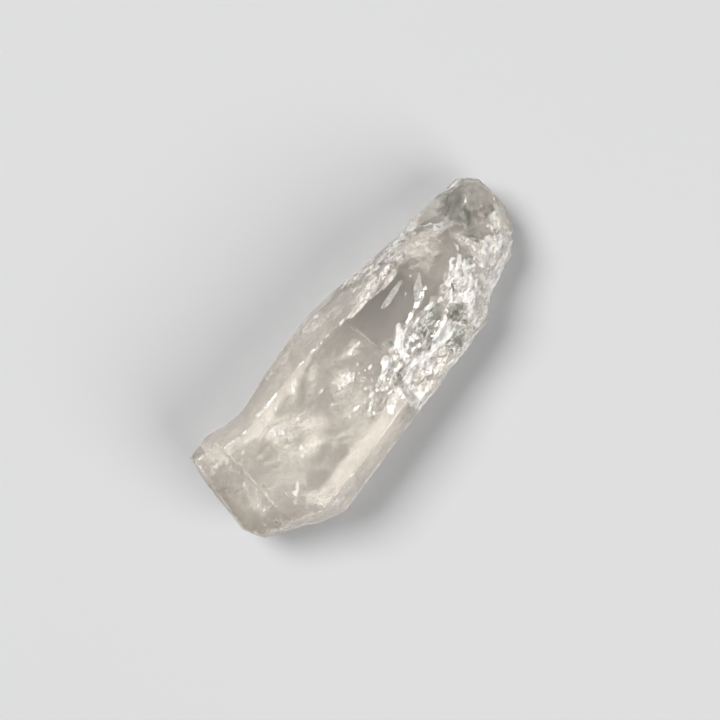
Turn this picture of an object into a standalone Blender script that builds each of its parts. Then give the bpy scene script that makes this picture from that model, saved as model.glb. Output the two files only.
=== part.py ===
"""Lightning quartz crystal, one natural piece, lying on its back face.

+X runs along the crystal from its broken base to its tip, +Z is up, and the origin is the
middle of the underside of its box. The faces are set out in millimetres round the crystal's
own axis, and the mesh is scaled to metres when it is made.
"""

import math

import bmesh
import bpy
import numpy as np

MM = 0.001

# Driving dimensions, in millimetres.
THICKNESS = 15.0
BASE_X = -29.4
TIP_X = 31.6
# The net that is drawn in to the surface: its squares, its width, how far it stands clear of the
# crystal, and the line inside the crystal that its points are drawn towards.
NET_STEP = 0.42
NET_WIDTH = 24.0
NET_MIDDLE_Y = -1.3
NET_CLEARANCE = 2.0
SPINE_ENDS = (-18.0, 19.0)
SPINE_Y = -1.6
SPINE_Z = 7.2
WALK_STEPS = 60
WALK_SHARE = 0.62
KEPT_SHARE = 0.105  # of the faces, after the flat ones are thinned out

# The girdle is the widest line round the crystal: how far it reaches to each side along X.
LEFT_REACH = (
    (-30.0, 10.2), (-24.0, 10.1), (-21.6, 10.0), (-19.8, 9.2), (-17.8, 8.3), (-15.0, 8.0), (-5.3, 8.9),
    (1.4, 8.8), (6.6, 7.9), (11.2, 6.8), (15.0, 6.1), (18.0, 5.3), (21.6, 5.2), (26.0, 4.5), (32.0, 3.5),
)
RIGHT_REACH = (
    (-30.0, 12.5), (-6.0, 12.4), (2.0, 12.4), (4.2, 12.7), (7.2, 12.4), (10.0, 12.6), (14.7, 12.4),
    (16.9, 12.7), (18.1, 11.6), (19.0, 10.6), (20.8, 10.4), (22.8, 10.0), (25.1, 9.7), (26.8, 9.3),
    (32.0, 6.2),
)
# The upper side faces start from the reach at these heights, and the lower ones at the foot heights.
LEFT_HEIGHT = (
    (-26.0, 9.5), (-15.0, 11.0), (-3.0, 8.4), (5.0, 7.5), (9.0, 10.4), (16.0, 10.8), (20.0, 10.2),
    (24.0, 8.0), (30.0, 6.0),
)
RIGHT_HEIGHT = ((-26.0, 9.0), (-12.0, 11.0), (0.0, 10.8), (12.0, 9.6), (22.0, 8.0), (30.0, 6.4))
LEFT_FOOT = ((-26.0, 7.6), (30.0, 5.2))
RIGHT_FOOT = ((-26.0, 8.4), (30.0, 5.4))
EASING = (-1.2, -0.4, 0.4, 1.2)  # steps along X over which the corners of these lines are rounded
PRISM_TILT = 30.0  # the four side faces lean this far from upright, as in a six-sided prism

# Flat faces: a point on each, the way it faces round the upright, and its tilt above level.
FACES = {
    "front": ((0.0, 0.0, THICKNESS), 0.0, 90.0),
    "back": ((0.0, 0.0, 0.0), 0.0, -90.0),
    "shoulder": ((14.0, 2.0, THICKNESS), -10.0, 82.0),
    "fan": ((21.1, -2.8, 14.0), -23.0, 64.0),
    "tip_corner": ((29.9, 3.1, 7.5), 38.0, 14.0),
    "tip_end": ((TIP_X, 0.2, 7.5), -9.0, 12.0),
    "tip_bulge": ((30.0, -5.6, 7.0), -33.0, 26.0),
    "tip_right": ((27.9, -8.2, 6.5), -54.0, 8.0),
    "tip_under": ((30.6, -1.0, 4.8), -6.0, -42.0),
    "base_end": ((-27.5, 4.0, 8.0), 162.0, 10.0),
    "base_bulge": ((BASE_X, -2.8, 8.0), 200.0, 8.0),
    "base_right": ((-22.6, -9.5, 8.5), 235.0, 14.0),
    "base_under": ((-28.2, 0.0, 5.6), 178.0, -40.0),
    "base_under_right": ((-22.8, -9.6, 5.5), 232.0, -34.0),
}

# Cuts: each takes away what lies beyond all of its faces, which leaves ledges and risers.
CUTS = {
    "base_ledge": (((-22.5, 1.4, 14.0), 169.0, 22.0), ((-22.6, 1.4, 13.5), 168.0, 64.0)),
    "base_scallop": (((-20.6, -7.6, 13.8), 200.0, 35.0), ((-21.4, -8.0, 12.9), 214.0, 58.0)),
    "window": (
        ((8.8, 0.0, 14.78), 60.0, 88.4),
        ((8.8, 3.4, 15.0), 262.0, 74.0),
        ((8.8, -3.2, 15.0), 98.0, 50.0),
        ((3.4, 0.0, 15.0), 352.0, 62.0),
        ((14.2, 0.6, 15.0), 200.0, 76.0),
    ),
    "left_ledge": (
        ((9.5, 4.9, 14.4), 82.0, 25.0),
        ((9.5, 5.0, 13.9), 88.0, 55.0),
        ((6.4, 5.0, 14.0), 20.0, 20.0),
        ((13.6, 5.0, 14.0), 160.0, 20.0),
    ),
    "right_ledge": (
        ((7.0, -7.2, 14.4), 264.0, 30.0),
        ((7.0, -7.9, 13.6), 276.0, 66.0),
        ((1.2, -9.0, 14.0), 330.0, 30.0),
        ((13.4, -8.0, 14.0), 205.0, 30.0),
    ),
    "tip_left": (((24.2, 2.0, 13.2), 24.0, 50.0), ((25.9, -0.7, 12.3), 115.0, 45.0)),
    "tip_ledge": (
        ((22.8, -7.0, 12.0), 300.0, 30.0),
        ((23.0, -7.4, 11.5), 290.0, 60.0),
        ((19.6, -8.0, 12.0), 340.0, 35.0),
    ),
}

# Scoops: hollows struck out of the surface, as the point over the middle, the way it faces,
# the radius of the hollow and its depth.
SCOOPS = {
    "fan_hollow": ((24.4, -3.9, 12.9), (-23.0, 66.0), 9.0, 0.75),
    "dark_hollow": ((10.6, -5.9, 15.0), (270.0, 74.0), 4.5, 0.8),
    "tip_hollow": ((29.0, -2.9, 10.4), (-20.0, 50.0), 4.0, 0.6),
    "left_tip_hollow": ((26.8, 2.8, 9.7), (110.0, 42.0), 8.0, 0.35),
    "right_notch": ((18.6, -10.9, 8.6), (285.0, 5.0), 2.0, 0.7),
    "right_chip": ((3.4, -12.6, 10.9), (270.0, 10.0), 3.0, 0.35),
    "crack_hollow": ((-2.6, -7.4, 15.0), (262.0, 84.0), 3.4, 0.3),
    "left_hollow": ((5.6, 6.4, 12.2), (90.0, 40.0), 6.0, 0.55),
    "base_chip": ((-19.6, -10.9, 12.0), (230.0, 35.0), 3.6, 0.6),
    "base_hollow": ((-25.2, 4.6, 12.4), (165.0, 55.0), 7.0, 0.5),
    "base_notch": ((-26.9, 7.0, 9.0), (160.0, 20.0), 2.2, 0.5),
    "base_dip": ((-28.5, 1.9, 8.5), (168.0, 10.0), 4.0, 0.35),
    "base_pit": ((-25.4, 3.8, 12.2), (165.0, 60.0), 1.0, 0.3),
    "base_small_pit": ((-24.2, -2.6, 12.8), (165.0, 60.0), 0.8, 0.22),
    "under_chip_left": ((-9.0, 6.6, 3.2), (80.0, -34.0), 13.0, 0.6),
    "under_chip_right": ((13.0, -9.6, 3.0), (285.0, -26.0), 12.0, 0.7),
    "under_chip_tip": ((23.0, 3.2, 3.4), (60.0, -40.0), 9.0, 0.6),
}

# The struck and etched side lies past this line, as Y along X.
ETCHED_LINE = (
    (-8.0, -12.5), (-6.6, -6.5), (-4.6, -4.9), (-1.0, -5.0), (1.4, -3.9), (4.4, -3.4), (7.6, -2.7),
    (12.5, -4.4), (16.0, -3.9), (20.4, -4.0), (31.0, -6.5),
)
ETCHED_FOOT = ((-8.0, -7.0), (-3.0, -8.2), (0.2, -9.8), (3.4, -12.2), (6.0, -15.0), (31.0, -16.0))
# Where each kind of damage fades in, as (none, full) along X, across Y or up Z.
FADE = (0.0, 0.9)
ETCHED_START = (-8.0, 1.0)
ETCHED_RISE = (2.0, 6.0)
EDGE_START = (6.0, 9.0)
EDGE_ACROSS = (2.6, 3.8)
EDGE_RISE = (8.0, 11.0)
BASE_BREAK = (22.0, 23.4)
TIP_BREAK = (22.5, 25.0)
BACK_FADE = (0.02, 2.4)
ETCHED_CELL = (2.6, 1.5, 1.5)  # a flake scar's length, width and height
ETCHED_DEPTH = 0.62
EDGE_DEPTH = 0.42  # of the scars along the chipped upper left edge
ETCHED_LEVEL = 0.35  # the share of a scar's depth that stands above the flat face, as its ridges
BREAK_CELL = (3.4, 3.4, 2.6)
BREAK_DEPTH = 0.3
BREAK_LEVEL = 0.4
FLAT_SIDES = np.array(((0.9, 0.3, 0.0), (0.25, 0.95, 0.0), (0.2, 0.5, 0.85), (0.3, 0.5, -0.8)))
SWELL_CELL = (11.0, 6.0, 6.0)
SWELL_DEPTH = 0.22


def facing(heading, tilt):
    """The outward direction of a face, from its heading round +Z and its tilt above level."""
    turn, rise = math.radians(heading), math.radians(tilt)
    return np.array((math.cos(turn) * math.cos(rise), math.sin(turn) * math.cos(rise), math.sin(rise)))


def beyond(points, at, heading, tilt):
    """How far each point stands outside the flat face through a place."""
    return (points - np.array(at)) @ facing(heading, tilt)


def along(x, line):
    """The value at X of a line of (X, value) points, with its corners eased."""
    stations, values = zip(*line)
    return sum(np.interp(x + aside, stations, values) for aside in EASING) / len(EASING)


def smooth(value, low, high):
    """0 below low, 1 above high, with an eased rise between."""
    share = np.clip((value - low) / (high - low), 0.0, 1.0)
    return share * share * (3.0 - 2.0 * share)


def prism_side(x, out, z, height, foot):
    """One side: a narrow upright band at the reach, with a leaning face above it and one below."""
    lean = math.radians(PRISM_TILT)
    above = out * math.cos(lean) + (z - along(x, height)) * math.sin(lean)
    below = out * math.cos(lean) + (along(x, foot) - z) * math.sin(lean)
    return np.maximum.reduce((out, above, below))


def prism_sides(points):
    x, y, z = points.T
    left = prism_side(x, y - along(x, LEFT_REACH), z, LEFT_HEIGHT, LEFT_FOOT)
    right = prism_side(x, -y - along(x, RIGHT_REACH), z, RIGHT_HEIGHT, RIGHT_FOOT)
    return np.maximum(left, right)


def scoop(points, at, direction, radius, depth):
    centre = np.array(at) + facing(*direction) * (radius - depth)
    return radius - np.linalg.norm(points - centre, axis=1)


def beyond_crystal(points):
    """How far each point stands outside the crystal, before its fine relief. Negative is inside."""
    outside = prism_sides(points)
    for face in FACES.values():
        outside = np.maximum(outside, beyond(points, *face))
    for cut in CUTS.values():
        beyond_all = np.minimum.reduce([beyond(points, *face) for face in cut])
        outside = np.maximum(outside, beyond_all)
    for hollow in SCOOPS.values():
        outside = np.maximum(outside, scoop(points, *hollow))
    return outside


def lattice(seed, columns):
    return np.random.default_rng(seed).random((32, 32, 32, columns))


def swell(points, cell, seed):
    """Slow rise and fall, from -1 to 1, between random values a cell apart."""
    values = lattice(seed, 1)[..., 0] * 2.0 - 1.0
    place = points / np.array(cell)
    corner = np.floor(place).astype(int)
    share = place - corner
    share = share * share * (3.0 - 2.0 * share)
    total = np.zeros(len(points))
    for step in np.ndindex(2, 2, 2):
        weight = np.prod(np.where(step, share, 1.0 - share), axis=1)
        total += weight * values[tuple(((corner + step) % 32).T)]
    return total


def rounded(away):
    return (away ** 2).sum(axis=1)


def flat_sided(away):
    """Measures by the crystal's own directions, so that a hollow has flat sides that follow them."""
    return np.abs(away @ FLAT_SIDES.T).max(axis=1)


def scars(points, cell, seed, measure):
    """Flake scars, 1 in the middle of a hollow and 0 on the sharp ridges that part them."""
    jitter = lattice(seed, 3)
    place = points / np.array(cell)
    corner = np.floor(place).astype(int)
    nearest = np.full(len(points), np.inf)
    for step in np.ndindex(3, 3, 3):
        box = corner + step - 1
        middle = box + jitter[tuple((box % 32).T)]
        nearest = np.minimum(nearest, measure(place - middle))
    return 1.0 - np.minimum(nearest, 1.0)


def relief(points):
    """How deep the surface is worked below the flat faces. The back stays flat, to rest on."""
    x, y, z = points.T
    etched = smooth(along(x, ETCHED_LINE) - y, *FADE) * smooth(y - along(x, ETCHED_FOOT), *FADE)
    etched = etched * smooth(x, *ETCHED_START) * smooth(z, *ETCHED_RISE)
    edge = smooth(x, *EDGE_START) * smooth(y, *EDGE_ACROSS) * smooth(z, *EDGE_RISE)
    broken = np.maximum(smooth(-x, *BASE_BREAK), smooth(x, *TIP_BREAK)) * (1.0 - etched)
    depth = SWELL_DEPTH * (0.5 + 0.5 * swell(points, SWELL_CELL, 3))
    depth = depth + ETCHED_DEPTH * etched * (scars(points, ETCHED_CELL, 11, flat_sided) - ETCHED_LEVEL)
    depth = depth + EDGE_DEPTH * edge * (scars(points, ETCHED_CELL, 12, flat_sided) - ETCHED_LEVEL)
    depth = depth + BREAK_DEPTH * broken * (scars(points, BREAK_CELL, 13, rounded) - BREAK_LEVEL)
    return depth * smooth(z, *BACK_FADE)


def block_net():
    """A closed block of small squares, a little larger than the crystal."""
    size = np.array((TIP_X - BASE_X, NET_WIDTH, THICKNESS)) + NET_CLEARANCE
    middle = np.array(((TIP_X + BASE_X) / 2, NET_MIDDLE_Y, THICKNESS / 2))
    net = bmesh.new()
    bmesh.ops.create_cube(net, size=1.0)
    bmesh.ops.scale(net, vec=size, verts=net.verts)
    bmesh.ops.translate(net, vec=middle, verts=net.verts)
    for axis in range(3):
        runs = [e for e in net.edges if abs((e.verts[1].co - e.verts[0].co)[axis]) > size[axis] / 2]
        cuts = round(size[axis] / NET_STEP) - 1
        bmesh.ops.subdivide_edges(net, edges=runs, cuts=cuts, use_grid_fill=True)
    bmesh.ops.recalc_face_normals(net, faces=net.faces)
    return net


def out_to_surface(start, way, worked):
    """Walks each point out from inside the crystal until it meets the surface."""
    gone = np.zeros(len(start))
    for _ in range(WALK_STEPS):
        gap = beyond_crystal(start + way * gone[:, None]) + worked
        gone -= WALK_SHARE * gap
    return start + way * gone[:, None]


def crystal_points(net_points):
    """Each point of the block drawn in to the crystal, towards the line down its middle."""
    x = net_points[:, 0]
    spine = np.column_stack((np.clip(x, *SPINE_ENDS), np.full(len(x), SPINE_Y), np.full(len(x), SPINE_Z)))
    way = net_points - spine
    way /= np.linalg.norm(way, axis=1)[:, None]
    plain = out_to_surface(spine, way, np.zeros(len(x)))
    return out_to_surface(spine, way, relief(plain))


def quartz():
    """Clear to milky colourless quartz."""
    material = bpy.data.materials.new("quartz")
    material.use_nodes = True
    shader = material.node_tree.nodes["Principled BSDF"]
    shader.inputs["Base Color"].default_value = (0.86, 0.84, 0.82, 1.0)
    shader.inputs["Roughness"].default_value = 0.12
    shader.inputs["Metallic"].default_value = 0.0
    shader.inputs["Transmission Weight"].default_value = 0.85
    shader.inputs["IOR"].default_value = 1.544
    return material


def quartz_crystal():
    net = block_net()
    points = crystal_points(np.array([v.co for v in net.verts]))
    low, high = points.min(axis=0), points.max(axis=0)
    points -= ((low[0] + high[0]) / 2, (low[1] + high[1]) / 2, 0.0)
    for vertex, place in zip(net.verts, points):
        vertex.co = place * MM
    mesh = bpy.data.meshes.new("quartz_crystal")
    net.to_mesh(mesh)
    net.free()
    crystal = bpy.data.objects.new("quartz_crystal", mesh)
    bpy.context.collection.objects.link(crystal)
    fewer = crystal.modifiers.new("Fewer faces", "DECIMATE")
    fewer.ratio = KEPT_SHARE
    mesh.materials.append(quartz())
    return crystal


for old in list(bpy.data.objects):
    bpy.data.objects.remove(old)
quartz_crystal()
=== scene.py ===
import math

import bmesh
import bpy
import numpy as np
from mathutils import Matrix, Vector


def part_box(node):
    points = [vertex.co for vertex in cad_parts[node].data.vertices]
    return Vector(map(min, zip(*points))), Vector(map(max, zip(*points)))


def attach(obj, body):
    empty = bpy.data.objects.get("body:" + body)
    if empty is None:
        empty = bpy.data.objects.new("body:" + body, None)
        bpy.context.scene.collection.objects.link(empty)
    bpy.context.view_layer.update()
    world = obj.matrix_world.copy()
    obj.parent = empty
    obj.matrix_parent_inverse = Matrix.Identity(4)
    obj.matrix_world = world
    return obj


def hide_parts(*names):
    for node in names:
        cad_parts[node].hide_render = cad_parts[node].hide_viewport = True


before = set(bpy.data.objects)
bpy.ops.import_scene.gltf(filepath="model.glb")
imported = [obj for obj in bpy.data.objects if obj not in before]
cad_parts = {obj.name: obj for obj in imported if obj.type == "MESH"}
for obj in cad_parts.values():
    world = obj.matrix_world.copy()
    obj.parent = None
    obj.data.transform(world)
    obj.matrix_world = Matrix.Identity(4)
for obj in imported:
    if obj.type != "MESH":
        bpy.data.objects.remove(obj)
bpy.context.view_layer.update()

# ----------------------------------------------------------------------
# The crystal: one raw quartz point, grown as a flattened six-sided prism. It is broken across at
# its base, blunt at its tip, and struck and etched along one side. It lies on its back face.
# Lengths here are in millimetres round the crystal's own axis: +X to the tip, +Z up.

MM = 0.001
THICKNESS = 15.0
BASE_X = -29.4
TIP_X = 31.6
EASING = (-1.2, -0.4, 0.4, 1.2)  # steps along X over which the corners of the lines below are rounded
PRISM_TILT = 30.0  # the side faces lean this far from upright, as in a six-sided prism
# The net that is drawn in to the surface: its squares, its width, how far it stands clear of the
# crystal, and the line inside the crystal that its points are drawn towards.
NET_STEP = (0.215, 0.3, 0.3)  # finer along the crystal, because the net draws in round it
NET_WIDTH = 24.0
NET_MIDDLE_Y = -1.3
NET_CLEARANCE = 2.0
SPINE_ENDS = (-18.0, 19.0)
SPINE_Y = -1.6
SPINE_Z = 7.2
WALK_STEPS = 60
WALK_SHARE = 0.62  # of the gap that is left, at each step out

# The girdle is the widest line round the crystal: how far it reaches to each side along X.
LEFT_REACH = (
    (-30.0, 10.2), (-24.0, 10.1), (-21.6, 10.0), (-19.8, 9.2), (-17.8, 8.3), (-15.0, 8.0), (-5.3, 8.9),
    (1.4, 8.8), (6.6, 7.9), (11.2, 6.8), (15.0, 6.1), (18.0, 5.3), (21.6, 5.2), (26.0, 4.5), (32.0, 3.5),
)
RIGHT_REACH = (
    (-30.0, 12.5), (-6.0, 12.4), (2.0, 12.4), (4.2, 12.7), (7.2, 12.4), (10.0, 12.6), (14.7, 12.4),
    (16.9, 12.7), (18.1, 11.6), (19.0, 10.6), (20.8, 10.4), (22.8, 10.0), (25.1, 9.7), (26.8, 9.3),
    (32.0, 6.2),
)
# The upper side faces start from the reach at these heights, and the lower ones at the foot heights.
LEFT_HEIGHT = (
    (-26.0, 9.5), (-15.0, 11.0), (-3.0, 8.4), (5.0, 7.5), (9.0, 10.4), (16.0, 10.8), (20.0, 10.2),
    (24.0, 8.0), (30.0, 6.0),
)
RIGHT_HEIGHT = ((-26.0, 9.0), (-12.0, 11.0), (0.0, 10.8), (12.0, 9.6), (22.0, 8.0), (30.0, 6.4))
LEFT_FOOT = ((-26.0, 7.6), (30.0, 5.2))
RIGHT_FOOT = ((-26.0, 8.4), (30.0, 5.4))

# Flat faces: a point on each, the way it faces round the upright, and its tilt above level.
FACES = {
    "front": ((0.0, 0.0, THICKNESS), 0.0, 90.0),
    "back": ((0.0, 0.0, 0.0), 0.0, -90.0),
    "shoulder": ((14.0, 2.0, THICKNESS), -10.0, 82.0),
    "fan": ((21.1, -2.8, 14.0), -23.0, 64.0),
    "tip_corner": ((29.9, 3.1, 7.5), 38.0, 14.0),
    "tip_end": ((TIP_X, 0.2, 7.5), -9.0, 12.0),
    "tip_bulge": ((30.0, -5.6, 7.0), -33.0, 26.0),
    "tip_right": ((27.9, -8.2, 6.5), -54.0, 8.0),
    "tip_under": ((30.6, -1.0, 4.8), -6.0, -42.0),
    "base_end": ((-27.5, 4.0, 8.0), 162.0, 10.0),
    "base_bulge": ((BASE_X, -2.8, 8.0), 200.0, 8.0),
    "base_right": ((-22.6, -9.5, 8.5), 235.0, 14.0),
    "base_under": ((-28.2, 0.0, 5.6), 178.0, -40.0),
    "base_under_right": ((-22.8, -9.6, 5.5), 232.0, -34.0),
}

# Cuts: each takes away what lies beyond all of its faces, which leaves ledges and risers.
CUTS = {
    "base_ledge": (((-22.5, 1.4, 14.0), 169.0, 22.0), ((-22.6, 1.4, 13.5), 168.0, 64.0)),
    "base_scallop": (((-20.6, -7.6, 13.8), 200.0, 35.0), ((-21.4, -8.0, 12.9), 214.0, 58.0)),
    "window": (
        ((8.8, 0.0, 14.78), 60.0, 88.4),
        ((8.8, 3.4, 15.0), 262.0, 74.0),
        ((8.8, -3.2, 15.0), 98.0, 50.0),
        ((3.4, 0.0, 15.0), 352.0, 62.0),
        ((14.2, 0.6, 15.0), 200.0, 76.0),
    ),
    "left_ledge": (
        ((9.5, 4.9, 14.4), 82.0, 25.0),
        ((9.5, 5.0, 13.9), 88.0, 55.0),
        ((6.4, 5.0, 14.0), 20.0, 20.0),
        ((13.6, 5.0, 14.0), 160.0, 20.0),
    ),
    "right_ledge": (
        ((7.0, -7.2, 14.4), 264.0, 30.0),
        ((7.0, -7.9, 13.6), 276.0, 66.0),
        ((1.2, -9.0, 14.0), 330.0, 30.0),
        ((13.4, -8.0, 14.0), 205.0, 30.0),
    ),
    "tip_left": (((24.2, 2.0, 13.2), 24.0, 50.0), ((25.9, -0.7, 12.3), 115.0, 45.0)),
    "tip_ledge": (
        ((22.8, -7.0, 12.0), 300.0, 30.0),
        ((23.0, -7.4, 11.5), 290.0, 60.0),
        ((19.6, -8.0, 12.0), 340.0, 35.0),
    ),
}

# Scoops: hollows struck out of the surface, as the point over the middle, the way it faces,
# the radius of the hollow and its depth.
SCOOPS = {
    "fan_hollow": ((24.4, -3.9, 12.9), (-23.0, 66.0), 9.0, 0.75),
    "dark_hollow": ((10.6, -5.9, 15.0), (270.0, 74.0), 4.5, 0.8),
    "tip_hollow": ((29.0, -2.9, 10.4), (-20.0, 50.0), 4.0, 0.6),
    "left_tip_hollow": ((26.8, 2.8, 9.7), (110.0, 42.0), 8.0, 0.35),
    "right_notch": ((18.6, -10.9, 8.6), (285.0, 5.0), 2.0, 0.7),
    "right_chip": ((3.4, -12.6, 10.9), (270.0, 10.0), 3.0, 0.35),
    "crack_hollow": ((-2.6, -7.4, 15.0), (262.0, 84.0), 3.4, 0.3),
    "left_hollow": ((5.6, 6.4, 12.2), (90.0, 40.0), 6.0, 0.55),
    "base_chip": ((-19.6, -10.9, 12.0), (230.0, 35.0), 3.6, 0.6),
    "base_hollow": ((-25.2, 4.6, 12.4), (165.0, 55.0), 7.0, 0.5),
    "base_notch": ((-26.9, 7.0, 9.0), (160.0, 20.0), 2.2, 0.5),
    "base_dip": ((-28.5, 1.9, 8.5), (168.0, 10.0), 4.0, 0.35),
    "base_pit": ((-25.4, 3.8, 12.2), (165.0, 60.0), 1.0, 0.3),
    "base_small_pit": ((-24.2, -2.6, 12.8), (165.0, 60.0), 0.8, 0.22),
    "under_chip_left": ((-9.0, 6.6, 3.2), (80.0, -34.0), 13.0, 0.6),
    "under_chip_right": ((13.0, -9.6, 3.0), (285.0, -26.0), 12.0, 0.7),
    "under_chip_tip": ((23.0, 3.2, 3.4), (60.0, -40.0), 9.0, 0.6),
}

# The struck and etched side lies past this line, as Y along X.
ETCHED_LINE = (
    (-8.0, -12.5), (-6.6, -6.5), (-4.6, -4.9), (-1.0, -5.0), (1.4, -3.9), (4.4, -3.4), (7.6, -2.7),
    (12.5, -4.4), (16.0, -3.9), (20.4, -4.0), (31.0, -6.5),
)
ETCHED_FOOT = ((-8.0, -7.0), (-3.0, -8.2), (0.2, -9.8), (3.4, -12.2), (6.0, -15.0), (31.0, -16.0))
# Where each kind of damage fades in, as (none, full) along X, across Y or up Z.
FADE = (0.0, 0.9)
ETCHED_START = (-8.0, 1.0)
ETCHED_RISE = (2.0, 6.0)
EDGE_START = (6.0, 9.0)
EDGE_ACROSS = (2.6, 3.8)
EDGE_RISE = (8.0, 11.0)
BASE_BREAK = (22.0, 23.4)
TIP_BREAK = (22.5, 25.0)
BACK_FADE = (0.02, 2.4)
ETCHED_CELL = (2.6, 1.5, 1.5)  # a flake scar's length, width and height
ETCHED_DEPTH = 0.62
EDGE_DEPTH = 0.42  # of the scars along the chipped upper left edge
ETCHED_LEVEL = 0.35  # the share of a scar's depth that stands above the flat face, as its ridges
BREAK_CELL = (3.4, 3.4, 2.6)
BREAK_DEPTH = 0.3
BREAK_LEVEL = 0.4
FLAT_SIDES = np.array(((0.9, 0.3, 0.0), (0.25, 0.95, 0.0), (0.2, 0.5, 0.85), (0.3, 0.5, -0.8)))
SWELL_CELL = (11.0, 6.0, 6.0)
SWELL_DEPTH = 0.22
SMALL_CELL = (1.2, 0.75, 0.75)
SMALL_DEPTH = 0.26
FINE_CELL = (0.62, 0.4, 0.4)
FINE_DEPTH = 0.09
SMALL_LEVEL = 0.4
CRUMB_DEPTH = 0.1  # of the small crumbs on the broken ends
CRUMB_LEVEL = 0.5
LATTICE = 32  # corners each way, after which the random values repeat


def facing(heading, tilt):
    """The outward direction of a face, from its heading round +Z and its tilt above level."""
    turn, rise = math.radians(heading), math.radians(tilt)
    return np.array((math.cos(turn) * math.cos(rise), math.sin(turn) * math.cos(rise), math.sin(rise)))


def beyond(points, at, heading, tilt):
    """How far each point stands outside the flat face through a place."""
    return (points - np.array(at)) @ facing(heading, tilt)


def along(x, line):
    """The value at X of a line of (X, value) points, with its corners eased."""
    stations, values = zip(*line)
    return sum(np.interp(x + aside, stations, values) for aside in EASING) / len(EASING)


def smooth(value, low, high):
    """0 below low, 1 above high, with an eased rise between."""
    share = np.clip((value - low) / (high - low), 0.0, 1.0)
    return share * share * (3.0 - 2.0 * share)


def prism_side(x, out, z, height, foot):
    """One side: a narrow upright band at the reach, with a leaning face above it and one below."""
    lean = math.radians(PRISM_TILT)
    above = out * math.cos(lean) + (z - along(x, height)) * math.sin(lean)
    below = out * math.cos(lean) + (along(x, foot) - z) * math.sin(lean)
    return np.maximum.reduce((out, above, below))


def prism_sides(points):
    x, y, z = points.T
    left = prism_side(x, y - along(x, LEFT_REACH), z, LEFT_HEIGHT, LEFT_FOOT)
    right = prism_side(x, -y - along(x, RIGHT_REACH), z, RIGHT_HEIGHT, RIGHT_FOOT)
    return np.maximum(left, right)


def scoop(points, at, direction, radius, depth):
    """How far each point stands inside a round hollow under a place, to be cut away."""
    centre = np.array(at) + facing(*direction) * (radius - depth)
    return radius - np.linalg.norm(points - centre, axis=1)


def beyond_crystal(points):
    """How far each point stands outside the crystal, before its fine relief. Negative is inside."""
    outside = prism_sides(points)
    for face in FACES.values():
        outside = np.maximum(outside, beyond(points, *face))
    for cut in CUTS.values():
        beyond_all = np.minimum.reduce([beyond(points, *face) for face in cut])
        outside = np.maximum(outside, beyond_all)
    for hollow in SCOOPS.values():
        outside = np.maximum(outside, scoop(points, *hollow))
    return outside


def lattice(seed, columns):
    """Random values at the corners of a grid that repeats."""
    return np.random.default_rng(seed).random((LATTICE, LATTICE, LATTICE, columns))


def swell(points, cell, seed):
    """Slow rise and fall, from -1 to 1, between random values a cell apart."""
    values = lattice(seed, 1)[..., 0] * 2.0 - 1.0
    place = points / np.array(cell)
    corner = np.floor(place).astype(int)
    share = place - corner
    share = share * share * (3.0 - 2.0 * share)
    total = np.zeros(len(points))
    for step in np.ndindex(2, 2, 2):
        weight = np.prod(np.where(step, share, 1.0 - share), axis=1)
        total += weight * values[tuple(((corner + step) % LATTICE).T)]
    return total


def rounded(away):
    return (away ** 2).sum(axis=1)


def flat_sided(away):
    """Measures by the crystal's own directions, so that a hollow has flat sides that follow them."""
    return np.abs(away @ FLAT_SIDES.T).max(axis=1)


def scars(points, cell, seed, measure):
    """Flake scars, 1 in the middle of a hollow and 0 on the sharp ridges that part them."""
    jitter = lattice(seed, 3)
    place = points / np.array(cell)
    corner = np.floor(place).astype(int)
    nearest = np.full(len(points), np.inf)
    for step in np.ndindex(3, 3, 3):
        box = corner + step - 1
        middle = box + jitter[tuple((box % LATTICE).T)]
        nearest = np.minimum(nearest, measure(place - middle))
    return 1.0 - np.minimum(nearest, 1.0)


def worked_zones(points):
    """How much of each kind of damage a place shows: etched side, chipped edge, broken ends."""
    x, y, z = points.T
    etched = smooth(along(x, ETCHED_LINE) - y, *FADE) * smooth(y - along(x, ETCHED_FOOT), *FADE)
    etched = etched * smooth(x, *ETCHED_START) * smooth(z, *ETCHED_RISE)
    edge = smooth(x, *EDGE_START) * smooth(y, *EDGE_ACROSS) * smooth(z, *EDGE_RISE)
    broken = np.maximum(smooth(-x, *BASE_BREAK), smooth(x, *TIP_BREAK)) * (1.0 - etched)
    return etched, edge, broken


def relief(points):
    """How deep the surface is worked below the flat faces. The back stays flat, to rest on."""
    etched, edge, broken = worked_zones(points)
    depth = SWELL_DEPTH * (0.5 + 0.5 * swell(points, SWELL_CELL, 3))
    depth = depth + ETCHED_DEPTH * etched * (scars(points, ETCHED_CELL, 11, flat_sided) - ETCHED_LEVEL)
    depth = depth + EDGE_DEPTH * edge * (scars(points, ETCHED_CELL, 12, flat_sided) - ETCHED_LEVEL)
    depth = depth + BREAK_DEPTH * broken * (scars(points, BREAK_CELL, 13, rounded) - BREAK_LEVEL)
    rough = np.maximum(etched, edge)
    depth = depth + SMALL_DEPTH * rough * (scars(points, SMALL_CELL, 21, flat_sided) - SMALL_LEVEL)
    depth = depth + FINE_DEPTH * rough * (scars(points, FINE_CELL, 22, flat_sided) - SMALL_LEVEL)
    depth = depth + CRUMB_DEPTH * broken * (scars(points, SMALL_CELL, 23, rounded) - CRUMB_LEVEL)
    return depth * smooth(points[:, 2], *BACK_FADE)


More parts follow.
